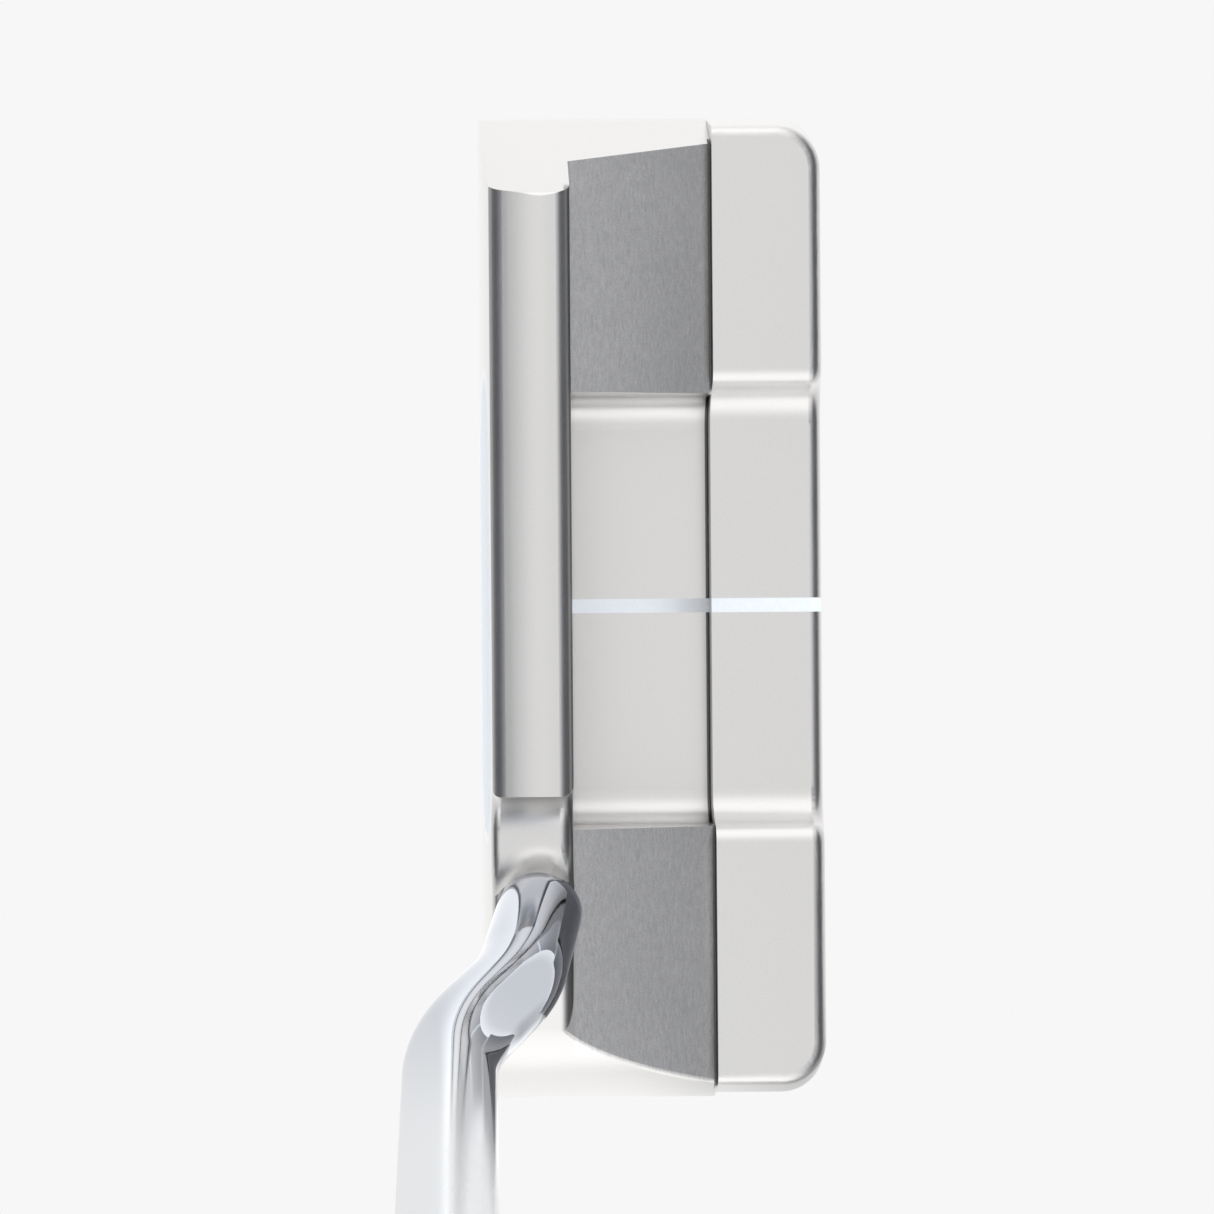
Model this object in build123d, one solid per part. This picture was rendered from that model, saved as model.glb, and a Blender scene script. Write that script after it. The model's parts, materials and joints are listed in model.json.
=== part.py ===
from build123d import *
import os
from math import acos, atan2, cos, hypot, radians, sin, sqrt, tan

# A right-handed wide-blade putter standing at address, in millimetres.
# +Z is up, -Y is the target side (the face looks that way), +X is the heel side.
# The origin is the middle of the sole's flat land, straight below the sight line.

# ---- Club ----
LIE = radians(70)                 # shaft to ground, in the XZ plane
LOFT = radians(3)
CLUB_LENGTH = 864.0               # 34 in, along the shaft from the ground to the cap

# ---- Head envelope ----
HEAD_DEPTH = 39.5
BLADE_HEIGHT = 25.0
FACE_Y = -HEAD_DEPTH / 2
BACK_Y = HEAD_DEPTH / 2
BLADE_BACK_Y = FACE_Y + 10.1      # rear wall of the top line
FLANGE_Y = FACE_Y + 26.4          # step between the cavity and the flange
SOLE_FLAT_HALF = 30.0
SOLE_RISE = 1.0                   # how far the camber lifts the toe and the heel
SOLE_CORNER_R = 3.4
LEADING_EDGE_R = 1.8

# ---- Top line and toe ----
CROWN_R = 15.0                    # the crown is an arc that peaks nearer its rear edge
CROWN_PEAK_Y = FACE_Y + 6.8
CROWN_SHOULDER_R = 2.8            # tighter arc that takes the crown down to a crisp edge at the face
CROWN_SHOULDER_TURN = radians(16)
CROWN_REAR_R = 1.8
TOE_FOOT_X = -58.6
TOE_LEAN = 0.566                  # run per rise of the slanted toe
CROWN_TOE_R = 0.8
TOE_PLAN_R, TOE_PLAN_RUN = 27.0, 5.6         # the face curves back over its last few millimetres

# ---- Saddle and heel ----
SADDLE_Z = 20.7
SADDLE_R = 4.3
SADDLE_X = 25.0
HEEL_SLOPE_X = 36.5               # where the flat behind the post starts to fall
HEEL_SLOPE_R = 10.0
HEEL_ARC_X, HEEL_ARC_Z, HEEL_ARC_R = 42.95, 4.44, 13.56
HEEL_X = HEEL_ARC_X + HEEL_ARC_R
HEEL_REAR_R, HEEL_FRONT_R = 1.5, 1.0

# ---- Cavity and ramps ----
CAVITY_Z = 5.0
CAVITY_X, CAVITY_HALF = 0.5, 24.4 # the cavity's middle lies a little towards the heel
CAVITY_CORNER_R = 3.6
RAMP_HIGH_Z = 17.0                # at the top line's rear wall
RAMP_LOW_Z = 12.4                 # at the bumper
RAMP_TUCK = 7.0                   # the ramp runs on this far under the top line
RAMP_HEEL_R = 0.8
GROOVE_WIDE, GROOVE_DEEP = 0.35, 1.2         # fine milled groove where the flange starts

# ---- Flange and bumpers ----
FLANGE_Z = 9.0
BUMPER_Z = 14.0
BUMPER_TOP_HALF = 53.8
BUMPER_LEAN = 0.25                # run per drop of the bumper's ends
BACK_LEAN = 0.08                  # run per rise of the rear wall
BACK_WIDE_Z = 2.6                 # height of the rearmost line
BACK_CORNER_R = 5.0
BOTTOM_EDGE_R = 2.6
TOP_EDGE_R = 1.5
STEP_X = 24.6                     # where the flange-to-bumper step turns from hollow to round
STEP_CONVEX_R = 2.55
STEP_CONCAVE_R = 4.25

# ---- Insert ----
INSERT_Z = 11.4
TRAY_HALF_FLAT, TRAY_TIP, TRAY_HALF_HEIGHT, TRAY_DEPTH = 17.4, 26.8, 9.4, 4.5
PAD_HALF_FLAT, PAD_TIP, PAD_HALF_HEIGHT, PAD_DEPTH = 17.0, 25.8, 9.0, 3.4
BOND_THICK = 0.25

# ---- Sight line ----
LINE_WIDTH = 1.6
LINE_DEPTH = 0.3
LINE_END_ANGLE = radians(70)      # how far the paint follows the rounded rear edge

# ---- Sole weights ----
WEIGHT_X, WEIGHT_Y = 37.0, 1.5
WEIGHT_HEAD_R, WEIGHT_HEAD_LENGTH = 6.5, 2.6
WEIGHT_THREAD_R, WEIGHT_LENGTH = 5.0, 8.2
WEIGHT_CLEARANCE = 0.05
WEIGHT_BASE_Z = 0.6               # the weight's face sits this far above the ground
WEIGHT_END_GAP = 0.6
WASHER_THICK = 0.5
WASHER_GAP = 0.1
DRIVE_R, DRIVE_DEPTH = 2.2, 1.8
DRIVE_LOBES = 6

# ---- Post and shaft ----
POST_BASE = Vector(33.3, FACE_Y + 6.3, 22.5)
POST_LEAN = radians(8.5)          # the tip leans towards the target
POST_R, POST_LENGTH = 4.05, 13.0
BOSS_R = 4.6
BOSS_OVER = 8.0                   # the boss is drawn this much too tall, then cut off square
FLARE_R = 3.2                     # hollow between the boss and the saddle
SHAFT_TIP_R, SHAFT_WALL = 4.7, 0.45
SHAFT_BUTT_R = 7.5
TIP_BOND_LENGTH = 12.8
FIRST_BEND_RUN, FIRST_BEND_R = 17.2, 26.0
SECOND_BEND_RUN, SECOND_BEND_R = 31.2, 28.0
SHAFT_OFFSET_Y = -9.65            # upper shaft ahead of the post's base
BEND_END = 40.0
PARALLEL_END = 105.0
TAPER_END = 560.0

# ---- Grip ----
GRIP_LENGTH = 267.0
GRIP_CAP_THICK = 3.0
GRIP_WRAP_THICK = 1.2
TAPE_THICK = 0.3
CAP_VENT_R = 1.2
# Distance up the grip, half width across the flat front, half depth
GRIP_STATIONS = ((0.0, 9.6, 9.4), (70.0, 11.6, 10.4), (190.0, 12.8, 11.2), (264.0, 13.2, 11.6))

# ---- Derived places along the shaft, measured from the post's base ----
SHAFT_DIR = Vector(cos(LIE), 0, sin(LIE))
TIP_DIR = SHAFT_DIR * cos(POST_LEAN) - Vector(0, sin(POST_LEAN), 0)
CLUB_END = CLUB_LENGTH - POST_BASE.Z / sin(LIE)
SHAFT_END = CLUB_END - GRIP_CAP_THICK
GRIP_START = CLUB_END - GRIP_LENGTH

GROOVE_Y = FLANGE_Y - GROOVE_WIDE
MARGIN = 6.0                      # how far a cutting outline reaches past the head


# ---- Helpers ----
def xz_prism(outline, y_low, y_high):
    """Push a face drawn in X and Z from y_low to y_high."""
    plane = Plane(origin=(0, y_high, 0), x_dir=(1, 0, 0), z_dir=(0, -1, 0))
    return extrude(plane * outline, amount=y_high - y_low)


def yz_prism(outline, x_low=-100.0, x_high=100.0):
    """Push a face drawn in Y and Z from x_low to x_high."""
    return extrude(Plane.YZ.offset(x_low) * outline, amount=x_high - x_low)


def outline_of(*edges):
    return make_face(Curve() + list(edges))


def corner_fillet(face, x, y, radius):
    """Round the corner of a flat face that lies nearest (x, y)."""
    corner = min(face.vertices(), key=lambda v: hypot(v.X - x, v.Y - y))
    return fillet(corner, radius)


def disc(radius, z_low, z_high):
    return Pos((0, 0, z_low)) * Cylinder(radius, z_high - z_low,
                                         align=(Align.CENTER, Align.CENTER, Align.MIN))


def one_solid(shape):
    """The shape as a single solid, so that a wrong split shows at once."""
    solids = shape.solids()
    assert len(solids) == 1, f"{len(solids)} solids"
    return solids[0]


# ---- Blade: face, top line, toe and heel ----
def face_y(z):
    """Y of the lofted face plane at a height."""
    return FACE_Y + z * tan(LOFT)


def heel_top_outline():
    """End of the top line, saddle, fall and round heel, seen from the face."""
    sky, below, far = BLADE_HEIGHT + MARGIN, -MARGIN, TOE_FOOT_X - MARGIN
    to_slope = Vector(HEEL_SLOPE_X - HEEL_ARC_X, SADDLE_Z - HEEL_ARC_Z)
    touch = atan2(to_slope.Y, to_slope.X) - acos(HEEL_ARC_R / to_slope.length)
    touch_point = (HEEL_ARC_X + HEEL_ARC_R * cos(touch), HEEL_ARC_Z + HEEL_ARC_R * sin(touch))
    heel_mid = (HEEL_ARC_X + HEEL_ARC_R * cos(touch / 2), HEEL_ARC_Z + HEEL_ARC_R * sin(touch / 2))
    scoop_top = (SADDLE_X - SADDLE_R, SADDLE_Z + SADDLE_R)
    scoop_mid = (SADDLE_X - SADDLE_R * sqrt(0.5), SADDLE_Z + SADDLE_R * (1 - sqrt(0.5)))
    face = outline_of(
        Polyline((HEEL_X, HEEL_ARC_Z), (HEEL_X, below), (far, below), (far, sky),
                 (scoop_top[0], sky), scoop_top),
        ThreePointArc(scoop_top, scoop_mid, (SADDLE_X, SADDLE_Z)),
        Polyline((SADDLE_X, SADDLE_Z), (HEEL_SLOPE_X, SADDLE_Z), touch_point),
        ThreePointArc(touch_point, heel_mid, (HEEL_X, HEEL_ARC_Z)))
    return corner_fillet(face, HEEL_SLOPE_X, SADDLE_Z, HEEL_SLOPE_R)


def toe_and_sole_outline():
    """Slanted toe with its soft top corner, cambered sole and the heel's lower corner."""
    sky = BLADE_HEIGHT + 2 * MARGIN
    toe_top = TOE_FOOT_X + TOE_LEAN * (BLADE_HEIGHT - SOLE_RISE)
    face = outline_of(Polyline(
        (HEEL_X, sky), (HEEL_X, SOLE_RISE), (SOLE_FLAT_HALF, 0), (-SOLE_FLAT_HALF, 0),
        (TOE_FOOT_X, SOLE_RISE), (toe_top, BLADE_HEIGHT), (SADDLE_X, BLADE_HEIGHT), (SADDLE_X, sky),
        (HEEL_X, sky)))
    face = corner_fillet(face, TOE_FOOT_X, SOLE_RISE, SOLE_CORNER_R)
    face = corner_fillet(face, HEEL_X, SOLE_RISE, SOLE_CORNER_R)
    return corner_fillet(face, toe_top, BLADE_HEIGHT, CROWN_TOE_R)


def crown_section():
    """Section of the blade: lofted face, crowned top line, rear wall and leading edge."""
    centre = Vector(CROWN_PEAK_Y, BLADE_HEIGHT - CROWN_R)
    back_top = (BLADE_BACK_Y, centre.Y + sqrt(CROWN_R ** 2 - (BLADE_BACK_Y - CROWN_PEAK_Y) ** 2))
    lean = Vector(-sin(CROWN_SHOULDER_TURN), cos(CROWN_SHOULDER_TURN))
    shoulder = centre + lean * CROWN_R
    inner = shoulder - lean * CROWN_SHOULDER_R
    reach = (inner.X - face_y(inner.Y)) * cos(LOFT)
    front_top = (inner + Vector(-cos(LOFT), sin(LOFT)) * reach
                 + Vector(sin(LOFT), cos(LOFT)) * sqrt(CROWN_SHOULDER_R ** 2 - reach ** 2))
    halfway = (shoulder - inner).normalized() + (front_top - inner).normalized()
    middle = inner + halfway.normalized() * CROWN_SHOULDER_R
    face = outline_of(
        Line((FACE_Y, 0), front_top), ThreePointArc(front_top, middle, shoulder),
        ThreePointArc(shoulder, (CROWN_PEAK_Y, BLADE_HEIGHT), back_top),
        Polyline(back_top, (BLADE_BACK_Y, 0), (FACE_Y, 0)))
    face = corner_fillet(face, *back_top, CROWN_REAR_R)
    return corner_fillet(face, FACE_Y, 0, LEADING_EDGE_R)


def wedge_section():
    """The same face and rear wall, carried straight past the crown and the sole."""
    sky, below = BLADE_HEIGHT + 2 * MARGIN, -2 * MARGIN
    return outline_of(Polyline((face_y(below), below), (face_y(sky), sky), (BLADE_BACK_Y, sky),
                               (BLADE_BACK_Y, below), (face_y(below), below)))


def heel_edges(block, rear):
    """Edges along the saddle and the heel, on the rear wall or on the face."""
    found = []
    for edge in block.edges():
        box = edge.bounding_box()
        on_rear = box.min.Y > BLADE_BACK_Y - 0.01
        on_face = box.max.Y < face_y(box.max.Z) + 0.05
        if box.min.X > SADDLE_X - SADDLE_R - 0.01 and (on_rear if rear else on_face):
            found.append(edge)
    return found


def toe_plan():
    """Everything behind the face, with the face curving back at the toe, seen from above."""
    start, end = TOE_FOOT_X + TOE_PLAN_RUN, TOE_FOOT_X - MARGIN
    back = [TOE_PLAN_R - sqrt(TOE_PLAN_R ** 2 - run ** 2) for run in ((start - end) / 2, start - end)]
    face = outline_of(
        Polyline((start, FACE_Y), (HEEL_X + MARGIN, FACE_Y), (HEEL_X + MARGIN, BACK_Y), (end, BACK_Y),
                 (end, FACE_Y + back[1])),
        ThreePointArc((end, FACE_Y + back[1]), ((start + end) / 2, FACE_Y + back[0]), (start, FACE_Y)))
    return Pos((0, 0, -MARGIN)) * extrude(face, amount=BLADE_HEIGHT + 2 * MARGIN)


def blade():
    block = xz_prism(heel_top_outline(), FACE_Y - MARGIN, BLADE_BACK_Y + MARGIN) + boss()
    block &= yz_prism(wedge_section())
    block = fillet(heel_edges(block, rear=True), HEEL_REAR_R)
    block = fillet(heel_edges(block, rear=False), HEEL_FRONT_R)
    block &= xz_prism(toe_and_sole_outline(), FACE_Y - MARGIN, BLADE_BACK_Y + MARGIN)
    return block & yz_prism(crown_section()) & toe_plan()


# ---- Ramps and cavity ----
def ramp_z(y):
    slope = (RAMP_HIGH_Z - RAMP_LOW_Z) / (FLANGE_Y - BLADE_BACK_Y)
    return RAMP_HIGH_Z - slope * (y - BLADE_BACK_Y)


def ramp_section():
    """Section of the ramp, tucked under the top line and falling to the flange."""
    front = BLADE_BACK_Y - RAMP_TUCK
    return outline_of(Polyline((front, 0), (FLANGE_Y, 0), (FLANGE_Y, RAMP_LOW_Z), (front, ramp_z(front)),
                               (front, 0)))


def cavity():
    """Open space between the two ramps, above the cavity's floor."""
    top = BLADE_HEIGHT + MARGIN
    face = outline_of(Polyline((-CAVITY_HALF, CAVITY_Z), (CAVITY_HALF, CAVITY_Z), (CAVITY_HALF, top),
                               (-CAVITY_HALF, top), (-CAVITY_HALF, CAVITY_Z)))
    for side in (1, -1):
        face = corner_fillet(face, side * CAVITY_HALF, CAVITY_Z, CAVITY_CORNER_R)
    return Pos((CAVITY_X, 0, 0)) * xz_prism(face, BLADE_BACK_Y, FLANGE_Y)


def flange_groove():
    """Fine groove in the cavity's floor and across the ramps, along the foot of the flange."""
    low, high, far, top = CAVITY_Z - GROOVE_DEEP, RAMP_LOW_Z - GROOVE_DEEP, -TOE_FOOT_X + MARGIN, BLADE_HEIGHT
    face = outline_of(Polyline((-CAVITY_HALF, low), (CAVITY_HALF, low), (CAVITY_HALF, high), (far, high),
                               (far, top), (-far, top), (-far, high), (-CAVITY_HALF, high),
                               (-CAVITY_HALF, low)))
    for side in (1, -1):
        face = corner_fillet(face, side * CAVITY_HALF, low, CAVITY_CORNER_R)
    return Pos((CAVITY_X, 0, 0)) * xz_prism(face, GROOVE_Y, FLANGE_Y)


def ramps():
    block = xz_prism(toe_and_sole_outline(), BLADE_BACK_Y - RAMP_TUCK, FLANGE_Y) & yz_prism(ramp_section())
    block &= xz_prism(heel_top_outline(), BLADE_BACK_Y - RAMP_TUCK - MARGIN, FLANGE_Y + MARGIN)
    heel_top = block.edges().filter_by(
        lambda e: e.center().X > HEEL_ARC_X and e.center().Z > RAMP_LOW_Z - 4
        and e.bounding_box().size.Y > RAMP_TUCK and e.bounding_box().size.Z > 1)
    block = fillet(heel_top, RAMP_HEEL_R)
    return block - cavity() - flange_groove()


# ---- Flange and bumpers ----
def step_profile():
    """One half of the flange's top, from the sight line out to the bumper's flat."""
    turn = acos(1 - (BUMPER_Z - FLANGE_Z) / (STEP_CONVEX_R + STEP_CONCAVE_R))
    join = (STEP_X, FLANGE_Z + STEP_CONCAVE_R * (1 - cos(turn)))
    low = (STEP_X - STEP_CONCAVE_R * sin(turn), FLANGE_Z)
    high = (STEP_X + STEP_CONVEX_R * sin(turn), BUMPER_Z)
    low_mid = (low[0] + STEP_CONCAVE_R * sin(turn / 2), low[1] + STEP_CONCAVE_R * (1 - cos(turn / 2)))
    high_mid = (high[0] - STEP_CONVEX_R * sin(turn / 2), high[1] - STEP_CONVEX_R * (1 - cos(turn / 2)))
    return low, low_mid, join, high_mid, high


def flange_outline():
    """Bumpers, the low flange between them and the sole, seen from the back."""
    low, low_mid, join, high_mid, high = step_profile()
    far = -TOE_FOOT_X + MARGIN
    edges = [Line((-low[0], FLANGE_Z), (low[0], FLANGE_Z))]
    for side in (1, -1):
        at = [(side * x, z) for x, z in (low, low_mid, join, high_mid, high)]
        edges += [
            ThreePointArc(at[0], at[1], at[2]),
            ThreePointArc(at[2], at[3], at[4]),
            Polyline(at[4], (side * far, BUMPER_Z), (side * far, SOLE_RISE), (side * SOLE_FLAT_HALF, 0)),
        ]
    edges.append(Line((-SOLE_FLAT_HALF, 0), (SOLE_FLAT_HALF, 0)))
    return outline_of(*edges)


def bumper_block():
    """Tapered block with rounded plan corners that the flange and bumpers are cut from."""
    rings = []
    for z in (0, BUMPER_Z + 2):
        half_x = BUMPER_TOP_HALF + BUMPER_LEAN * (BUMPER_Z - z)
        half_y = BACK_Y - BACK_LEAN * (z - BACK_WIDE_Z)
        rings.append(Pos((0, 0, z)) * RectangleRounded(2 * half_x, 2 * half_y, BACK_CORNER_R))
    return loft(rings, ruled=True)


def rim_edges(block, z_low, z_high):
    """Edges that run round the ends and the rear of the flange between two heights."""
    found = []
    for edge in block.edges():
        box = edge.bounding_box()
        outer = box.min.Y > FLANGE_Y + 0.5 or (abs(edge.center().X) > 52 and box.max.Y > FLANGE_Y + 1)
        if box.min.Z > z_low - 0.01 and box.max.Z < z_high + 0.01 and outer:
            found.append(edge)
    return found


def flange():
    block = bumper_block() & xz_prism(flange_outline(), FLANGE_Y, BACK_Y + MARGIN)
    block = fillet(rim_edges(block, 0, SOLE_RISE), BOTTOM_EDGE_R)
    return fillet(rim_edges(block, FLANGE_Z, BUMPER_Z), TOP_EDGE_R)


# ---- Insert ----
def insert_outline(half_flat, tip, half_height):
    edges = [Line((-half_flat, side * half_height), (half_flat, side * half_height)) for side in (1, -1)]
    for side in (1, -1):
        edges.append(ThreePointArc((side * half_flat, half_height), (side * tip, 0),
                                   (side * half_flat, -half_height)))
    return outline_of(*edges)


def insert_block(half_flat, tip, half_height, start, thick):
    """A slab that lies along the face, from a start depth, so many millimetres thick."""
    plane = Plane(origin=(0, face_y(INSERT_Z), INSERT_Z), x_dir=(1, 0, 0), z_dir=(0, -cos(LOFT), sin(LOFT)))
    return extrude(plane.offset(-start) * insert_outline(half_flat, tip, half_height), amount=-thick)


def tray_block(start, thick):
    return insert_block(TRAY_HALF_FLAT, TRAY_TIP, TRAY_HALF_HEIGHT, start, thick)


def face_insert():
    return insert_block(PAD_HALF_FLAT, PAD_TIP, PAD_HALF_HEIGHT, 0, PAD_DEPTH)


def insert_tray():
    return tray_block(0, TRAY_DEPTH) - face_insert()


def insert_bond():
    return tray_block(TRAY_DEPTH, BOND_THICK)


# ---- Sight line ----
def sight_line_cavity():
    """Paint in the groove across the cavity's floor."""
    band = outline_of(Polyline(
        (BLADE_BACK_Y, CAVITY_Z), (GROOVE_Y, CAVITY_Z), (GROOVE_Y, CAVITY_Z - LINE_DEPTH),
        (BLADE_BACK_Y, CAVITY_Z - LINE_DEPTH), (BLADE_BACK_Y, CAVITY_Z)))
    return yz_prism(band, -LINE_WIDTH / 2, LINE_WIDTH / 2)


def sight_line_flange():
    """Paint in the groove across the flange, which runs down over the rounded rear edge."""
    centre_z = FLANGE_Z - TOP_EDGE_R
    wall_y = BACK_Y - BACK_LEAN * (centre_z - BACK_WIDE_Z)
    centre_y = wall_y - TOP_EDGE_R * sqrt(1 + BACK_LEAN ** 2)
    angles = (0, LINE_END_ANGLE / 2, LINE_END_ANGLE)
    outer, inner = ([(centre_y + r * sin(a), centre_z + r * cos(a)) for a in angles]
                    for r in (TOP_EDGE_R, TOP_EDGE_R - LINE_DEPTH))
    band = outline_of(
        Line((FLANGE_Y, FLANGE_Z), outer[0]), ThreePointArc(*outer), Line(outer[2], inner[2]),
        ThreePointArc(*inner),
        Polyline(inner[0], (FLANGE_Y, FLANGE_Z - LINE_DEPTH), (FLANGE_Y, FLANGE_Z)))
    return yz_prism(band, -LINE_WIDTH / 2, LINE_WIDTH / 2)


# ---- Sole weights ----
def weight_socket():
    """Stepped hole for the screw's head, its washer and its shank."""
    step_z = WEIGHT_BASE_Z + WEIGHT_HEAD_LENGTH + WASHER_THICK
    end_z = WEIGHT_BASE_Z + WEIGHT_LENGTH + WEIGHT_END_GAP
    return (disc(WEIGHT_HEAD_R + WEIGHT_CLEARANCE, -1, step_z)
            + disc(WEIGHT_THREAD_R + WEIGHT_CLEARANCE, step_z, end_z))


def sole_weight():
    """Screw with a wide flat head and a six-lobed drive in it."""
    head_top = WEIGHT_BASE_Z + WEIGHT_HEAD_LENGTH
    head = disc(WEIGHT_HEAD_R, WEIGHT_BASE_Z, head_top)
    head = chamfer(head.edges().sort_by(Axis.Z)[0], 0.35)
    shank = disc(WEIGHT_THREAD_R, head_top, WEIGHT_BASE_Z + WEIGHT_LENGTH)
    shank = chamfer(shank.edges().sort_by(Axis.Z)[-1], 0.6)
    drive_low, drive_high = WEIGHT_BASE_Z - 1, WEIGHT_BASE_Z + DRIVE_DEPTH
    drive = disc(DRIVE_R * 0.8, drive_low, drive_high)
    for lobe in range(DRIVE_LOBES):
        drive += Rot(0, 0, 360 / DRIVE_LOBES * lobe) * Pos((DRIVE_R * 0.75, 0, 0)) * disc(
            DRIVE_R * 0.25, drive_low, drive_high)
    return head + shank - drive


def weight_washer():
    low = WEIGHT_BASE_Z + WEIGHT_HEAD_LENGTH
    high = low + WASHER_THICK
    hole = disc(WEIGHT_THREAD_R + WEIGHT_CLEARANCE, low - 1, high + 1)
    return disc(WEIGHT_HEAD_R - WASHER_GAP, low, high) - hole


def at_weight(side, shape):
    """Move a shape drawn about the screw's axis to the toe (-1) or the heel (1)."""
    return Pos((side * WEIGHT_X, WEIGHT_Y, 0)) * shape


# ---- Post, shaft and its bond ----
def along_shaft(run, offset_y=0.0):
    """A point so far up the shaft's direction from the post's base, moved in Y."""
    return POST_BASE + SHAFT_DIR * run + Vector(0, offset_y, 0)


def shaft_plane(run):
    """Section plane of the straight shaft: x points back to the player, y across the flat of the grip."""
    return Plane(origin=along_shaft(run, SHAFT_OFFSET_Y), x_dir=(sin(LIE), 0, -cos(LIE)), z_dir=SHAFT_DIR)


def tip_plane(run=0.0):
    return Plane(origin=POST_BASE + TIP_DIR * run, x_dir=(sin(LIE), 0, -cos(LIE)), z_dir=TIP_DIR)


def boss():
    """Root of the post: a short leaning cylinder that flares out into the saddle."""
    saddle = xz_prism(heel_top_outline(), FACE_Y - 2 * HEAD_DEPTH, BLADE_BACK_Y + 2 * HEAD_DEPTH)
    block = saddle + extrude(tip_plane(BOSS_OVER - POST_BASE.Z) * Circle(BOSS_R), amount=POST_BASE.Z)
    root = [edge for edge in block.edges() if edge.geom_type in (GeomType.ELLIPSE, GeomType.BSPLINE)]
    return fillet(root, FLARE_R) - extrude(tip_plane() * Rectangle(80, 80), amount=80)


def post():
    stud = extrude(tip_plane(-1) * Circle(POST_R), amount=POST_LENGTH + 1)
    return chamfer(stud.edges().sort_by(Axis.Z)[-1], 0.5)


def hosel_bond():
    """Adhesive sleeve between the post and the shaft's bore."""
    ring = Circle(SHAFT_TIP_R - SHAFT_WALL) - Circle(POST_R)
    return extrude(tip_plane() * ring, amount=TIP_BOND_LENGTH - 1)


def shaft_rod(inset):
    """The shaft's form as a solid rod, drawn in from the outside by an inset."""
    first = along_shaft(FIRST_BEND_RUN, -FIRST_BEND_RUN * tan(POST_LEAN))
    second = along_shaft(SECOND_BEND_RUN, SHAFT_OFFSET_Y)
    end = along_shaft(BEND_END, SHAFT_OFFSET_Y)
    path = FilletPolyline(POST_BASE, first, second, end, radius=(FIRST_BEND_R, SECOND_BEND_R))
    tip, butt = Circle(SHAFT_TIP_R - inset), Circle(SHAFT_BUTT_R - inset)
    bent = sweep(tip_plane() * tip, path=path)
    parallel = extrude(shaft_plane(BEND_END) * tip, amount=PARALLEL_END - BEND_END)
    taper = loft([shaft_plane(PARALLEL_END) * tip, shaft_plane(TAPER_END) * butt])
    handle = extrude(shaft_plane(TAPER_END) * butt, amount=SHAFT_END - TAPER_END)
    return bent + parallel + taper + handle


def shaft():
    """Steel tube: over the post, through two bends, parallel, tapered and parallel again."""
    return shaft_rod(0) - shaft_rod(SHAFT_WALL)


# ---- Grip ----
def grip_ring(half_width, half_depth):
    """Grip section with a flat front and a round back."""
    flat = half_width * 0.6
    edges = [Line((-half_depth, flat), (-half_depth, -flat))]
    for side in (1, -1):
        edges.append(Bezier((-half_depth, side * flat), (-half_depth, side * half_width),
                            (0, side * half_width)))
        edges.append(Bezier((0, side * half_width), (half_depth, side * half_width), (half_depth, 0)))
    return outline_of(*edges)


def grip_form(inset):
    """Lofted form of the grip, drawn in from its outer skin by an inset."""
    rings = [shaft_plane(GRIP_START + run) * grip_ring(half_width - inset, half_depth - inset)
             for run, half_width, half_depth in GRIP_STATIONS]
    return loft(rings)


def taped_shaft():
    run = SHAFT_END - GRIP_START
    return extrude(shaft_plane(GRIP_START - 1) * Circle(SHAFT_BUTT_R + TAPE_THICK), amount=run + 2)


def grip_tape():
    ring = Circle(SHAFT_BUTT_R + TAPE_THICK) - Circle(SHAFT_BUTT_R)
    return extrude(shaft_plane(GRIP_START) * ring, amount=SHAFT_END - GRIP_START)


def grip_core():
    return grip_form(GRIP_WRAP_THICK) - taped_shaft()


def grip_wrap():
    return grip_form(0) - grip_form(GRIP_WRAP_THICK)


def grip_cap():
    """Closed end of the grip, with its vent hole."""
    _, half_width, half_depth = GRIP_STATIONS[-1]
    cap = extrude(shaft_plane(SHAFT_END) * grip_ring(half_width, half_depth), amount=GRIP_CAP_THICK)
    top = cap.faces().sort_by(Axis(POST_BASE, SHAFT_DIR))[-1]
    cap = fillet(top.edges(), 1.2)
    return cap - extrude(shaft_plane(SHAFT_END - 1) * Circle(CAP_VENT_R), amount=GRIP_CAP_THICK + 2)


# ---- Head ----
def head_body():
    """Milled head with its post, insert pocket, paint grooves and weight sockets."""
    body = blade() + ramps() + flange() + post()
    body -= tray_block(0, TRAY_DEPTH + BOND_THICK)
    body -= sight_line_cavity()
    body -= sight_line_flange()
    for side in (-1, 1):
        body -= at_weight(side, weight_socket())
    return body


NODES = {
    "head_body": head_body,
    "insert_tray": insert_tray,
    "face_insert": face_insert,
    "insert_bond": insert_bond,
    "sight_line_cavity": sight_line_cavity,
    "sight_line_flange": sight_line_flange,
    "toe_weight": lambda: at_weight(-1, sole_weight()),
    "heel_weight": lambda: at_weight(1, sole_weight()),
    "toe_weight_washer": lambda: at_weight(-1, weight_washer()),
    "heel_weight_washer": lambda: at_weight(1, weight_washer()),
    "hosel_bond": hosel_bond,
    "shaft": shaft,
    "grip_tape": grip_tape,
    "grip_core": grip_core,
    "grip_wrap": grip_wrap,
    "grip_cap": grip_cap,
}

if __name__ == "__main__":
    os.makedirs("parts", exist_ok=True)
    for name, make in NODES.items():
        export_step(one_solid(make()), f"parts/{name}.step")
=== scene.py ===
import bpy
import json
from math import cos, floor, pi, radians, sin, tan
from mathutils import Matrix, Vector


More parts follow.
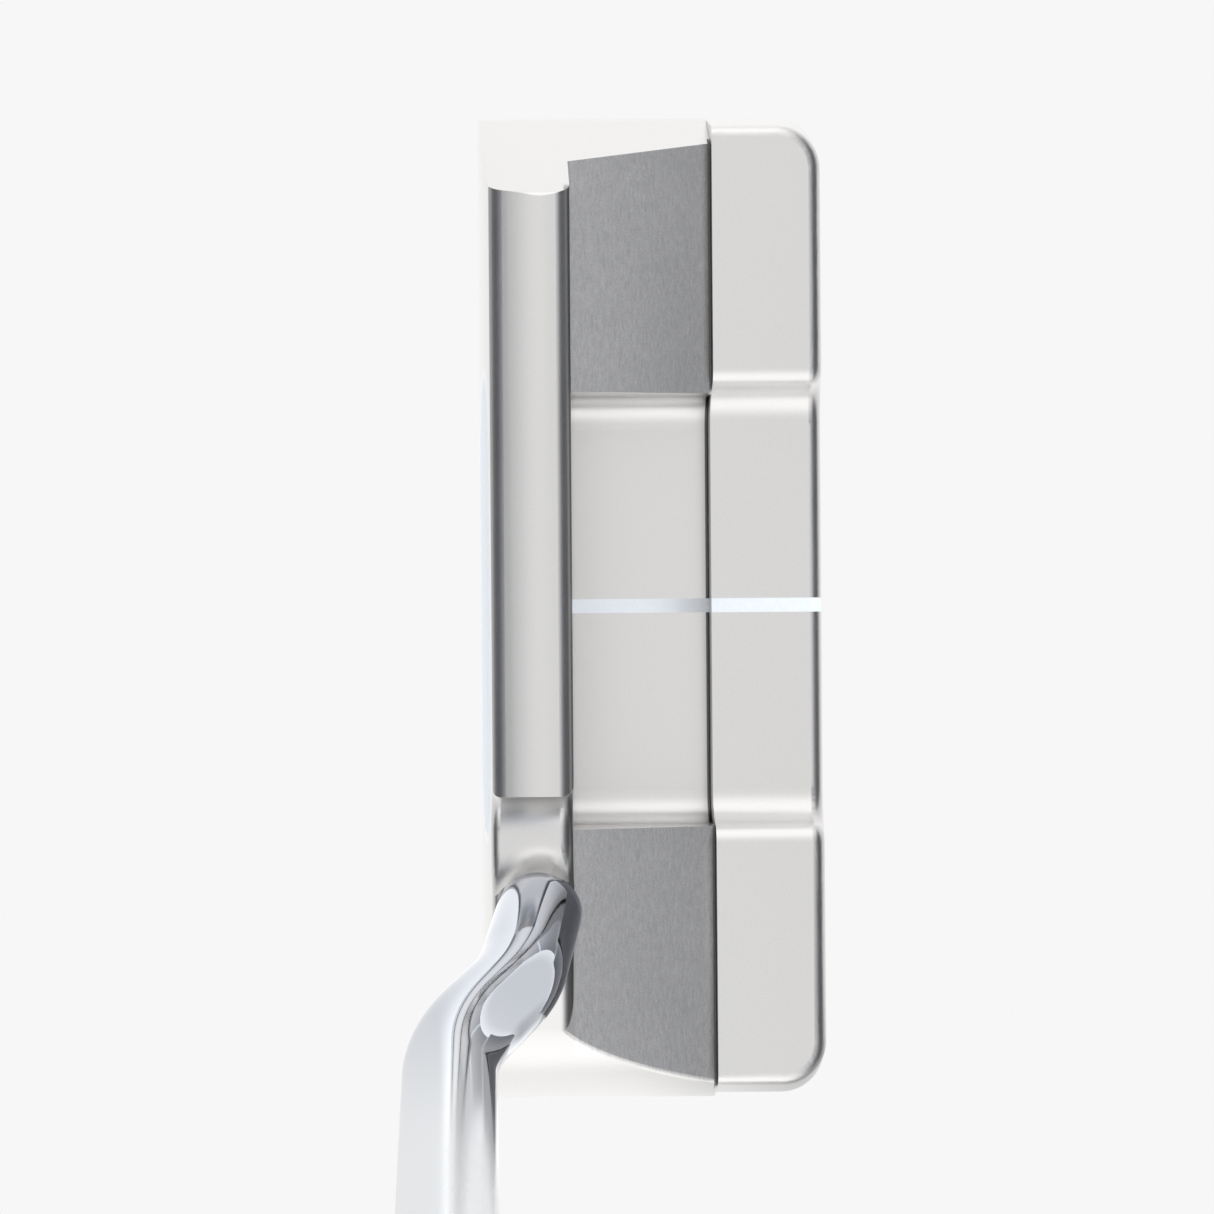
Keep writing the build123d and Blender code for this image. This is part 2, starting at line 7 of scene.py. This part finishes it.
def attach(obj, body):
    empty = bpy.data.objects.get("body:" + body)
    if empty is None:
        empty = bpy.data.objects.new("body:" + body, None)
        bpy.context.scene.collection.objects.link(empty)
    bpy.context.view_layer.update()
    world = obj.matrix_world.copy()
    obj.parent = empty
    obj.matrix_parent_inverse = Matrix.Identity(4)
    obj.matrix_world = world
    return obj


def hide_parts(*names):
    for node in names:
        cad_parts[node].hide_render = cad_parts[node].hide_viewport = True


# A wide-blade putter seen from above at address, in metres.
# +Z is up, -Y is the target side, +X is the heel side, and the sole rests at Z = 0.

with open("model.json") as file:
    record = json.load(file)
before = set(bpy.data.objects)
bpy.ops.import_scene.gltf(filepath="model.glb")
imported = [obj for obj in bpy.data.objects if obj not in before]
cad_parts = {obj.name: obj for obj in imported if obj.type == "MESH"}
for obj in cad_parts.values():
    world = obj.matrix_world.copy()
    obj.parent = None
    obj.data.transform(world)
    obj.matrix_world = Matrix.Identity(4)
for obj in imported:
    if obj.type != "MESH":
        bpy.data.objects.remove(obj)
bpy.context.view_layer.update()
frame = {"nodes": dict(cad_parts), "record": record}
MM = 0.001

# ---- Sizes repeated from the CAD, in metres ----
LIE = radians(70)
FACE_Y = -19.75 * MM
POST_BASE = Vector((33.3, -13.45, 22.5)) * MM
POST_LEAN = radians(8.5)
SHAFT_TIP_R, SHAFT_BUTT_R, SHAFT_WALL = 4.7 * MM, 7.5 * MM, 0.45 * MM
FIRST_BEND_RUN, FIRST_BEND_R = 17.2 * MM, 26.0 * MM
SECOND_BEND_RUN, SECOND_BEND_R = 31.2 * MM, 28.0 * MM
SHAFT_OFFSET_Y = -9.65 * MM
PARALLEL_END, TAPER_END = 105 * MM, 560 * MM
CLUB_LENGTH, GRIP_LENGTH, GRIP_CAP_THICK, GRIP_WRAP_THICK = 864 * MM, 267 * MM, 3 * MM, 1.2 * MM
SHAFT_END = CLUB_LENGTH - POST_BASE.z / sin(LIE) - GRIP_CAP_THICK
GRIP_START = SHAFT_END + GRIP_CAP_THICK - GRIP_LENGTH
SHAFT_DIR = Vector((cos(LIE), 0, sin(LIE)))
SHAFT_SIDE = Vector((sin(LIE), 0, -cos(LIE)))      # square to the shaft, away from the toe
TIP_DIR = SHAFT_DIR * cos(POST_LEAN) - Vector((0, sin(POST_LEAN), 0))
# In mm: distance up the grip, half width across the flat front, half depth
GRIP_STATIONS = ((0.0, 9.6, 9.4), (70.0, 11.6, 10.4), (190.0, 12.8, 11.2), (264.0, 13.2, 11.6))
WEIGHT_X, WEIGHT_Y, WEIGHT_BASE_Z = 37 * MM, 1.5 * MM, 0.6 * MM
WEIGHT_HEAD_R, WEIGHT_HEAD_LENGTH, WEIGHT_LENGTH = 6.5 * MM, 2.6 * MM, 8.2 * MM
THREAD_CREST_R, THREAD_ROOT_R, THREAD_PITCH = 4.98 * MM, 4.4 * MM, 1.0 * MM
DRIVE_R, DRIVE_LOBE, DRIVE_DEPTH = 1.95 * MM, 0.25 * MM, 1.8 * MM
GRIP_FLAT_POINTS = 16             # across half of the flat front
BLADE_BACK_Y, FLANGE_Y = FACE_Y + 10.1 * MM, FACE_Y + 26.4 * MM
CAVITY_X, CAVITY_HALF = 0.5 * MM, 24.4 * MM
CAVITY_Z, LINE_WIDTH, LINE_DEPTH, LINE_HOLLOW = 5.0 * MM, 1.6 * MM, 0.3 * MM, 0.05 * MM

# ---- Camera: straight above the leading edge ----
CAMERA_HEIGHT = 350 * MM
CAMERA_LENS = 88.7                # mm on a 36 mm sensor
CAMERA_SHIFT = 0.1046             # the head lies to the right of the lens axis
CAMERA_ROLL = radians(-0.43)

# ---- Light levels ----
FLOOR_SEEN = 0.93                 # what the camera sees
FLOOR_BRIGHT = 1.18               # what metal reflects off the floor in line with the head
FLOOR_SIDE = 0.82                 # and just ahead of it or behind it
FLOOR_FAR = 0.545                 # and well to either side
FLOOR_HEEL = 0.40                 # and behind the heel
BACK_FILL, FRONT_FILL = 1.5, 0.75   # lamps that only dull surfaces show


# ---- Node helpers ----
class Nodes:
    """A short way to add and link shader nodes in one tree."""

    def __init__(self, tree):
        self.tree = tree
        tree.nodes.clear()

    def add(self, kind, inputs=None, **settings):
        node = self.tree.nodes.new("ShaderNode" + kind)
        for key, value in settings.items():
            setattr(node, key, value)
        for key, value in (inputs or {}).items():
            self.feed(node.inputs[key], value)
        return node

    def feed(self, socket, value):
        if isinstance(value, bpy.types.NodeSocket):
            self.tree.links.new(value, socket)
        else:
            socket.default_value = value

    def math(self, operation, *values):
        node = self.add("Math", operation=operation)
        for i, value in enumerate(values):
            self.feed(node.inputs[i], value)
        return node.outputs[0]

    def ramp(self, value, low, high, to_low=0.0, to_high=1.0, smooth=True):
        """Map a value from low..high to to_low..to_high, clamped."""
        node = self.add("MapRange", interpolation_type="SMOOTHSTEP" if smooth else "LINEAR")
        for name, number in (("Value", value), ("From Min", low), ("From Max", high),
                             ("To Min", to_low), ("To Max", to_high)):
            self.feed(node.inputs[name], number)
        return node.outputs[0]

    def mix_colour(self, factor, first, second):
        node = self.add("Mix", data_type="RGBA")
        self.feed(node.inputs[0], factor)
        self.feed(node.inputs[6], first)
        self.feed(node.inputs[7], second)
        return node.outputs[2]

    def mix_value(self, factor, first, second):
        node = self.add("Mix", data_type="FLOAT")
        for i, value in enumerate((factor, first, second)):
            self.feed(node.inputs[(0, 2, 3)[i]], value)
        return node.outputs[0]

    def grey(self, value):
        return self.add("CombineColor", {"Red": value, "Green": value, "Blue": value}).outputs[0]

    def noise(self, vector, scale, detail=2.0, roughness=0.5):
        return self.add("TexNoise", {"Vector": vector, "Scale": scale, "Detail": detail,
                                     "Roughness": roughness}).outputs["Fac"]

    def stretched(self, vector, scale):
        """A point with its axes scaled, so that a texture's grain runs long where the scale is small."""
        return self.add("Mapping", {"Vector": vector, "Scale": scale}, vector_type="POINT").outputs[0]

    def position(self):
        return self.add("TexCoord").outputs["Object"]

    def axes(self, vector):
        return self.add("SeparateXYZ", {0: vector}).outputs

    def along(self, vector, direction):
        """Distance of a point along a direction."""
        node = self.add("VectorMath", {0: vector, 1: tuple(direction)}, operation="DOT_PRODUCT")
        return node.outputs["Value"]

    def openness(self, distance):
        """1 on open surfaces, falling towards 0 in crevices no deeper than a distance."""
        return self.add("AmbientOcclusion", {"Distance": distance}, samples=8).outputs["AO"]


def new_material(name):
    material = bpy.data.materials.new(name)
    material.use_nodes = True
    return material, Nodes(material.node_tree)


def close_material(nodes, shader):
    nodes.add("OutputMaterial", {"Surface": shader.outputs[0]})


# ---- Materials ----
def satin_steel():
    """Bead-blasted stainless steel with fine milling lines across the ramps, and painted shade: darker
    towards the flange, along the top line's rear edge and in crevices.
    """
    material, n = new_material("satin_steel")
    place = n.position()
    x, y, z = n.axes(place)
    off_centre = n.math("ABSOLUTE", n.math("SUBTRACT", x, CAVITY_X))
    facing_up = n.ramp(n.axes(n.add("NewGeometry").outputs["Normal"])[2], 0.80, 0.90)
    on_ramp = n.math("MULTIPLY", n.ramp(y, BLADE_BACK_Y, BLADE_BACK_Y + 0.3 * MM),
                     n.ramp(y, FLANGE_Y - 0.2 * MM, FLANGE_Y, 1.0, 0.0))
    on_ramp = n.math("MULTIPLY", on_ramp, n.ramp(off_centre, CAVITY_HALF - 0.3 * MM, CAVITY_HALF + 0.3 * MM))
    on_ramp = n.math("MULTIPLY", on_ramp, facing_up)
    beads = n.noise(place, 5200, 4, 0.6)
    lines = n.noise(n.stretched(place, (0.2, 1, 1)), 4200, 4, 0.7)
    cloud = n.noise(place, 60, 4)
    milled = n.math("MULTIPLY", n.ramp(on_ramp, 0, 1, 0.25, 0.9), n.math("SUBTRACT", lines, 0.5))
    grain = n.math("ADD", milled, n.math("MULTIPLY", n.math("SUBTRACT", beads, 0.5), 0.8))
    bump = n.add("Bump", {"Height": grain, "Strength": 0.10, "Distance": 0.00006})
    roughness = n.math("ADD", n.ramp(grain, -0.3, 0.3, 0.30, 0.38), n.ramp(cloud, 0.3, 0.7, -0.015, 0.015))
    tone = n.mix_colour(n.ramp(cloud, 0.3, 0.7), (0.745, 0.738, 0.730, 1), (0.765, 0.758, 0.750, 1))
    speck = n.ramp(grain, -0.35, 0.35, -0.20, 0.20, smooth=False)
    shade = n.math("ADD", n.math("MULTIPLY", speck, n.ramp(on_ramp, 0, 1, 0.35, 1.0)), 1.0)
    # Painted shade: the ramps' colour is lighter next to the blade's back and darker towards the flange
    # wall.
    painted_shade_towards_flange = n.ramp(y, BLADE_BACK_Y, FLANGE_Y, 1.10, 0.94, smooth=False)
    shade = n.math("MULTIPLY", shade, n.mix_value(on_ramp, 1.0, painted_shade_towards_flange))
    # Painted shade and reflection: near the top line's rear wall the steel is darkened to 0.42, for the dark
    # line at its foot and the grey cavity it reflects.
    off_wall = n.math("ABSOLUTE", n.math("SUBTRACT", y, BLADE_BACK_Y))
    on_top_line = n.math("MULTIPLY", n.ramp(z, 17.0 * MM, 17.4 * MM),
                         n.ramp(off_centre, 46 * MM, 47 * MM, 1.0, 0.0))
    painted_dark_rear_edge = n.math("MULTIPLY", n.ramp(off_wall, 0.45 * MM, 0.85 * MM, 1.0, 0.0), on_top_line)
    shade = n.math("MULTIPLY", shade, n.ramp(painted_dark_rear_edge, 0, 1, 1.0, 0.42))
    # Painted shade: ambient occlusion darkens the steel's colour, down to 0.22, in crevices and hollows up
    # to 2.2 mm deep.
    shade = n.math("MULTIPLY", shade, n.ramp(n.openness(2.2 * MM), 0.15, 0.75, 0.22, 1.0))
    toned = n.add("Mix", {0: 1.0, 6: tone, 7: n.grey(shade)}, data_type="RGBA", blend_type="MULTIPLY")
    shader = n.add("BsdfPrincipled", {"Base Color": toned.outputs[2], "Metallic": 1.0,
                                      "Roughness": roughness, "Normal": bump.outputs[0]})
    close_material(n, shader)
    return material


def chrome():
    """Mirror plating at the bends that turns softer up the straight shaft, where it is handled."""
    material, n = new_material("shaft_chrome")
    place = n.position()
    haze = n.noise(place, 400, 3)
    scratches = n.noise(n.stretched(place, (1, 1, 0.04)), 3000, 3)
    run = n.math("SUBTRACT", n.along(place, SHAFT_DIR), POST_BASE.dot(SHAFT_DIR))
    softness = n.ramp(run, 38 * MM, 62 * MM, 0.0, 0.22)
    roughness = n.math("ADD", n.math("ADD", n.ramp(haze, 0.3, 0.7, 0.03, 0.05), softness),
                       n.ramp(scratches, 0.55, 0.75, 0.0, 0.02))
    # Painted reflection: the plating is coloured darker and bluer near the bends, for the dark bluish
    # reflections there, and near white up the shaft.
    tone = n.mix_colour(n.ramp(run, 20 * MM, 60 * MM), (0.68, 0.708, 0.77, 1), (0.96, 0.98, 1.0, 1))
    bump = n.add("Bump", {"Height": scratches, "Strength": 0.01, "Distance": 0.00002})
    shader = n.add("BsdfPrincipled", {"Base Color": tone, "Metallic": 1.0, "Roughness": roughness,
                                      "Normal": bump.outputs[0]})
    close_material(n, shader)
    return material


def plastic(name, colour, second, scale, roughness, bump_strength):
    """Moulded plastic, paint, adhesive or rubber with a fine grain."""
    material, n = new_material(name)
    place = n.position()
    grain = n.noise(place, scale, 4)
    bump = n.add("Bump", {"Height": grain, "Strength": bump_strength, "Distance": 0.0001})
    tone = n.mix_colour(n.ramp(grain, 0.35, 0.65), (*colour, 1), (*second, 1))
    shader = n.add("BsdfPrincipled", {
        "Base Color": tone, "Roughness": n.ramp(grain, 0.3, 0.7, roughness - 0.05, roughness + 0.05),
        "Normal": bump.outputs[0]})
    close_material(n, shader)
    return material


def turned_metal(name, colour, roughness):
    material, n = new_material(name)
    place = n.position()
    grain = n.noise(place, 4000, 3)
    bump = n.add("Bump", {"Height": grain, "Strength": 0.08, "Distance": 0.00005})
    shader = n.add("BsdfPrincipled", {
        "Base Color": (*colour, 1), "Metallic": 1.0,
        "Roughness": n.ramp(grain, 0.3, 0.7, roughness - 0.04, roughness + 0.04), "Normal": bump.outputs[0]})
    close_material(n, shader)
    return material


MATERIALS = {
    "satin_steel": satin_steel(),
    "shaft_chrome": chrome(),
    "insert_white": plastic("insert_white", (0.84, 0.90, 0.97), (0.88, 0.93, 0.99), 3000, 0.45, 0.05),
    "tray_aluminium": turned_metal("tray_aluminium", (0.78, 0.81, 0.85), 0.32),
    "line_paint": plastic("line_paint", (0.88, 0.93, 0.99), (0.92, 0.96, 1.0), 2500, 0.35, 0.06),
    "adhesive": plastic("adhesive", (0.50, 0.46, 0.34), (0.58, 0.54, 0.42), 900, 0.4, 0.1),
    "weight_steel": turned_metal("weight_steel", (0.62, 0.62, 0.63), 0.28),
    "washer_nylon": plastic("washer_nylon", (0.02, 0.02, 0.022), (0.03, 0.03, 0.032), 2000, 0.5, 0.1),
    "grip_rubber": plastic("grip_rubber", (0.018, 0.018, 0.02), (0.030, 0.030, 0.033), 1500, 0.62, 0.2),
    "grip_foam": plastic("grip_foam", (0.04, 0.04, 0.045), (0.07, 0.07, 0.075), 1200, 0.8, 0.3),
    "tape": plastic("tape", (0.72, 0.69, 0.58), (0.78, 0.75, 0.66), 1500, 0.7, 0.2),
}


def dress(piece, slot):
    piece.data.materials.clear()
    piece.data.materials.append(MATERIALS[slot])


for part in frame["record"]["subparts"]:
    dress(frame["nodes"][part["node"]], part["material_slot"])


# ---- Pieces made finer than the CAD ----
def skin(name, rings, body, slot, node, caps=False):
    """Join rings of points into a surface that stands for a CAD node. Without caps it closes on itself."""
    count = len(rings[0])
    points = [tuple(point) for ring in rings for point in ring]
    last = len(rings) if not caps else len(rings) - 1
    faces = []
    for i in range(last):
        near, far = i * count, (i + 1) % len(rings) * count
        faces += [(near + j, near + (j + 1) % count, far + (j + 1) % count, far + j) for j in range(count)]
    if caps:
        faces += [tuple(reversed(range(count))), tuple(range(len(points) - count, len(points)))]
    mesh = bpy.data.meshes.new(name)
    mesh.from_pydata(points, [], faces)
    mesh.validate()
    piece = bpy.data.objects.new(name, mesh)
    bpy.context.scene.collection.objects.link(piece)
    bpy.context.view_layer.objects.active = piece
    piece.select_set(True)
    bpy.ops.object.mode_set(mode="EDIT")
    bpy.ops.mesh.select_all(action="SELECT")
    bpy.ops.mesh.normals_make_consistent(inside=False)
    bpy.ops.object.mode_set(mode="OBJECT")
    bpy.ops.object.shade_smooth_by_angle(angle=radians(35))
    piece.select_set(False)
    dress(piece, slot)
    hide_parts(node)
    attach(piece, body)
    return piece


def spin(turns):
    """Evenly spaced angles once round."""
    return [2 * pi * i / turns for i in range(turns)]


def along_shaft(run, offset_y=0.0):
    return POST_BASE + SHAFT_DIR * run + Vector((0, offset_y, 0))


def bend(corner, arrive, leave, radius, steps=14):
    """Points and directions round a bend that is tangent to two straight runs."""
    angle = arrive.angle(leave)
    start = corner - arrive * radius * tan(angle / 2)
    axis = arrive.cross(leave).normalized()
    centre = start + axis.cross(arrive) * radius
    turned = [Matrix.Rotation(angle * i / steps, 3, axis) for i in range(steps + 1)]
    return [(centre + turn @ (start - centre), turn @ arrive) for turn in turned]


def shaft_line():
    """Centre, direction and radius at each station of the shaft, from the tip up."""
    first = along_shaft(FIRST_BEND_RUN, -FIRST_BEND_RUN * tan(POST_LEAN))
    second = along_shaft(SECOND_BEND_RUN, SHAFT_OFFSET_Y)
    between = (second - first).normalized()
    line = [(POST_BASE + TIP_DIR * d * MM, TIP_DIR, SHAFT_TIP_R - cut * MM)
            for d, cut in ((0.0, 0.18), (0.05, 0.08), (0.18, 0.0), (2.0, 0.0), (5.0, 0.0))]
    line += [(point, way, SHAFT_TIP_R) for point, way in bend(first, TIP_DIR, between, FIRST_BEND_R)]
    line += [(point, way, SHAFT_TIP_R) for point, way in bend(second, between, SHAFT_DIR, SECOND_BEND_R)]
    for run in (60 * MM, 80 * MM, PARALLEL_END):
        line.append((along_shaft(run, SHAFT_OFFSET_Y), SHAFT_DIR, SHAFT_TIP_R))
    steps = 12
    for i in range(1, steps + 1):
        share = i / steps
        run = PARALLEL_END + (TAPER_END - PARALLEL_END) * share
        radius = SHAFT_TIP_R + (SHAFT_BUTT_R - SHAFT_TIP_R) * share
        line.append((along_shaft(run, SHAFT_OFFSET_Y), SHAFT_DIR, radius))
    line.append((along_shaft(SHAFT_END, SHAFT_OFFSET_Y), SHAFT_DIR, SHAFT_BUTT_R))
    return line


def tube_ring(centre, way, radius, turns=72):
    """Points round a centre, square to a direction."""
    across = way.cross(SHAFT_SIDE).normalized()
    return [centre + (SHAFT_SIDE * cos(a) + across * sin(a)) * radius for a in spin(turns)]


def fine_shaft():
    """Steel tube with a broken edge at its tip, bored all the way up."""
    line = shaft_line()
    outside = [tube_ring(centre, way, radius) for centre, way, radius in line]
    inside = [tube_ring(centre, way, radius - SHAFT_WALL) for centre, way, radius in line[2:]]
    tip, tip_way, _ = line[0]
    inside.insert(0, tube_ring(tip, tip_way, SHAFT_TIP_R - SHAFT_WALL))
    return skin("shaft_tube", outside + inside[::-1], "root", "shaft_chrome", "shaft")


def thread_radius(height, angle):
    """Radius of a rounded screw thread at a height and an angle."""
    phase = height / THREAD_PITCH - angle / (2 * pi)
    rise = abs(2 * (phase - floor(phase)) - 1)
    return THREAD_ROOT_R + (THREAD_CREST_R - THREAD_ROOT_R) * min(1.0, rise * 1.25)


def fine_weight(side, name, body, node):
    """Sole weight with a lobed drive, a turned groove in its face, a notched rim and a cut thread."""
    centre = Vector((side * WEIGHT_X, WEIGHT_Y, WEIGHT_BASE_Z))
    angles = spin(96)

    def ring(height, radius):
        return [centre + Vector((radius(a) * cos(a), radius(a) * sin(a), height)) for a in angles]

    def drive(share):
        return lambda a: (DRIVE_R + DRIVE_LOBE * cos(6 * a)) * share

    def plain(radius):
        return lambda a: radius

    def notched(radius):
        return lambda a: radius - 0.12 * MM * max(0.0, cos(24 * a)) ** 2

    def threaded(height, share):
        return lambda a: THREAD_ROOT_R + (thread_radius(height, a) - THREAD_ROOT_R) * share

    rings = [ring(DRIVE_DEPTH, drive(0.05)), ring(DRIVE_DEPTH, drive(0.94)),
             ring(DRIVE_DEPTH - 0.1 * MM, drive(1.0)), ring(0.15 * MM, drive(1.0)), ring(0.0, drive(1.1))]
    for radius, depth in ((3.9, 0.0), (4.05, 0.18), (4.45, 0.18), (4.6, 0.0), (6.1, 0.0)):
        rings.append(ring(depth * MM, plain(radius * MM)))
    rings += [ring(0.35 * MM, notched(WEIGHT_HEAD_R)),
              ring(WEIGHT_HEAD_LENGTH - 0.25 * MM, notched(WEIGHT_HEAD_R)),
              ring(WEIGHT_HEAD_LENGTH, plain(WEIGHT_HEAD_R - 0.2 * MM)),
              ring(WEIGHT_HEAD_LENGTH, plain(THREAD_ROOT_R)),
              ring(WEIGHT_HEAD_LENGTH + 0.55 * MM, plain(THREAD_ROOT_R))]
    low, high = WEIGHT_HEAD_LENGTH + 0.6 * MM, WEIGHT_LENGTH - 0.7 * MM
    steps = 50
    for i in range(steps + 1):
        height = low + (high - low) * i / steps
        rings.append(ring(height, threaded(height, min(1.0, i / 4, (steps - i) / 4))))
    rings.append(ring(WEIGHT_LENGTH, plain(THREAD_ROOT_R - 0.6 * MM)))
    return skin(name, rings, body, "weight_steel", node, caps=True)


def grip_size(run):
    """Half width and half depth of the grip at a distance up it."""
    for (low, w0, d0), (high, w1, d1) in zip(GRIP_STATIONS, GRIP_STATIONS[1:]):
        if run <= high * MM + 1e-9:
            share = (run / MM - low) / (high - low)
            share = share * share * (3 - 2 * share)
            return (w0 + (w1 - w0) * share) * MM, (d0 + (d1 - d0) * share) * MM
    raise ValueError(run)


def grip_outline(half_width, half_depth, count=40):
    """Flat front and round back, as (depth, width) pairs, once round from the middle of the front."""
    flat = half_width * 0.6

    def curve(a, b, c, steps):
        shares = [i / steps for i in range(steps)]
        return [a * (1 - t) ** 2 + b * 2 * t * (1 - t) + c * t * t for t in shares]

    quarter = count // 2
    half = [(-half_depth, flat * i / GRIP_FLAT_POINTS) for i in range(GRIP_FLAT_POINTS)]
    half += list(zip(curve(-half_depth, -half_depth, 0, quarter),
                     curve(flat, half_width, half_width, quarter)))
    half += list(zip(curve(0, half_depth, half_depth, count), curve(half_width, half_width, 0, count)))
    return half + [(half_depth, 0.0)] + [(d, -w) for d, w in half[:0:-1]]


def grip_tread(run, index, count):
    """How far the pattern sinks the rubber: crossing grooves at the back, fine bars on the flat front."""
    fade = min(1.0, max(0.0, (run - 8 * MM) / (6 * MM)), max(0.0, (256 * MM - run) / (6 * MM)))
    share = index / count
    front = min(share, 1 - share)
    flat_share = GRIP_FLAT_POINTS / count
    if front < flat_share - 0.02:
        return 0.22 * MM * fade * (0.5 + 0.5 * cos(2 * pi * run / (3.2 * MM))) ** 3
    if front < flat_share + 0.03:
        return 0.0
    cross = [abs(sin(pi * (share * 18 + way * run / (7 * MM)))) for way in (1, -1)]
    return 0.32 * MM * fade * max(0.0, 1 - min(cross) / 0.32)


def fine_grip():
    """Grip skin with its tread, a rolled lip at its lower end and the hollow for the core."""
    outside, inside = [], []
    length = GRIP_STATIONS[-1][0] * MM
    steps = 330
    for i in range(steps + 1):
        run = length * i / steps
        centre = along_shaft(GRIP_START + run, SHAFT_OFFSET_Y)
        half_width, half_depth = grip_size(run)
        lip = 0.5 * MM * max(0.0, 1 - run / (1.5 * MM)) ** 2
        outline = grip_outline(half_width - lip, half_depth - lip)
        ring = []
        for index, (depth, width) in enumerate(outline):
            sunk = 1 - grip_tread(run, index, len(outline)) / (10 * MM)
            ring.append(centre + SHAFT_SIDE * depth * sunk + Vector((0, width * sunk, 0)))
        outside.append(ring)
        if i % 33 == 0:
            hollow = grip_outline(half_width - GRIP_WRAP_THICK, half_depth - GRIP_WRAP_THICK)
            inside.append([centre + SHAFT_SIDE * depth + Vector((0, width, 0)) for depth, width in hollow])
    return skin("grip_skin", outside + inside[::-1], "root", "grip_rubber", "grip_wrap")


def fine_cavity_line(steps=12):
    """Paint across the cavity's floor, hollow between its edges, that also bridges the flange's groove."""
    half = LINE_WIDTH / 2
    across = [half * (2 * i / steps - 1) for i in range(steps + 1)]
    top = [(x, CAVITY_Z - LINE_HOLLOW * (1 - (x / half) ** 2)) for x in across]
    section = top + [(half, CAVITY_Z - LINE_DEPTH), (-half, CAVITY_Z - LINE_DEPTH)]
    rings = [[(x, y, z) for x, z in section] for y in (BLADE_BACK_Y, FLANGE_Y)]
    return skin("cavity_line_paint", rings, "root", "line_paint", "sight_line_cavity", caps=True)


fine_shaft()
fine_weight(-1, "toe_weight_screw", "toe_screw", "toe_weight")
fine_weight(1, "heel_weight_screw", "heel_screw", "heel_weight")
fine_grip()
fine_cavity_line()


# ---- Studio: world, floor and camera ----
def studio_world():
    """Grey overhead, white towards the toe and the heel, dark towards the face and the back."""
    world = bpy.data.worlds.new("studio")
    world.use_nodes = True
    n = Nodes(world.node_tree)
    axes = n.add("SeparateXYZ", {0: n.add("TexCoord").outputs["Generated"]})
    side, across, _ = axes.outputs
    off_axis = n.math("ABSOLUTE", across)
    towards_ends = n.math("ABSOLUTE", side)
    bright = n.ramp(towards_ends, 0.35, 0.85, 1.00, 1.47)
    level = n.math("MULTIPLY", bright, n.ramp(off_axis, 0.12, 0.80, 1.0, 0.08))
    tinted = n.mix_colour(n.ramp(level, 0.1, 0.7), (0.90, 0.95, 1.08, 1), (1.0, 1.0, 1.0, 1))
    light = n.add("Background", {"Color": tinted, "Strength": level})
    backdrop = n.add("Background", {"Color": (0.93, 0.93, 0.93, 1), "Strength": 1.0})
    seen = n.add("LightPath").outputs["Is Camera Ray"]
    both = n.add("MixShader", {0: seen, 1: light.outputs[0], 2: backdrop.outputs[0]})
    n.add("OutputWorld", {"Surface": both.outputs[0]})
    return world


def pale_floor():
    """A pale sweep that the club stands on. It glows: evenly where the camera sees it, and brighter or
    darker by place where the metal reflects it.
    """
    mesh = bpy.data.meshes.new("floor")
    size, drop = 4.0, -0.05 * MM
    mesh.from_pydata([(-size, -size, drop), (size, -size, drop), (size, size, drop), (-size, size, drop)],
                     [], [(0, 1, 2, 3)])
    floor = bpy.data.objects.new("floor", mesh)
    bpy.context.scene.collection.objects.link(floor)
    material, n = new_material("floor")
    x, y, _ = n.axes(n.position())
    off_line = n.math("ABSOLUTE", y)
    near = n.ramp(off_line, 18 * MM, 45 * MM, FLOOR_BRIGHT, FLOOR_SIDE)
    level = n.math("MULTIPLY", near, n.ramp(off_line, 0.12, 0.45, 1.0, FLOOR_FAR / FLOOR_SIDE))
    behind_heel = n.math("MULTIPLY", n.ramp(x, 45 * MM, 70 * MM), n.ramp(y, -5 * MM, 25 * MM))
    level = n.mix_value(behind_heel, level, FLOOR_HEEL)
    level = n.mix_value(n.add("LightPath").outputs["Is Camera Ray"], level, FLOOR_SEEN)
    glow = n.add("Emission", {"Color": (1.0, 1.0, 1.0, 1), "Strength": level})
    close_material(n, glow)
    mesh.materials.append(material)


def fill_lights():
    """Soft lamps from the back and the front for the paint and the insert, unseen in the metal."""
    for name, tilt, energy in (("back_fill", -50, BACK_FILL), ("front_fill", 60, FRONT_FILL)):
        data = bpy.data.lights.new(name, "SUN")
        data.energy = energy
        data.angle = radians(40)
        data.color = (0.94, 0.97, 1.0)
        lamp = bpy.data.objects.new(name, data)
        lamp.rotation_euler = (radians(tilt), 0, 0)
        lamp.visible_glossy = False
        bpy.context.scene.collection.objects.link(lamp)


def top_camera():
    data = bpy.data.cameras.new("camera")
    data.lens = CAMERA_LENS
    data.sensor_width = 36
    data.shift_x = CAMERA_SHIFT
    data.clip_start = 0.01
    camera = bpy.data.objects.new("camera", data)
    camera.location = (0, FACE_Y, CAMERA_HEIGHT)
    camera.rotation_euler = (0, 0, pi / 2 + CAMERA_ROLL)
    bpy.context.scene.collection.objects.link(camera)
    bpy.context.scene.camera = camera


bpy.context.scene.world = studio_world()
bpy.context.scene.view_settings.view_transform = "Standard"
pale_floor()
fill_lights()
top_camera()
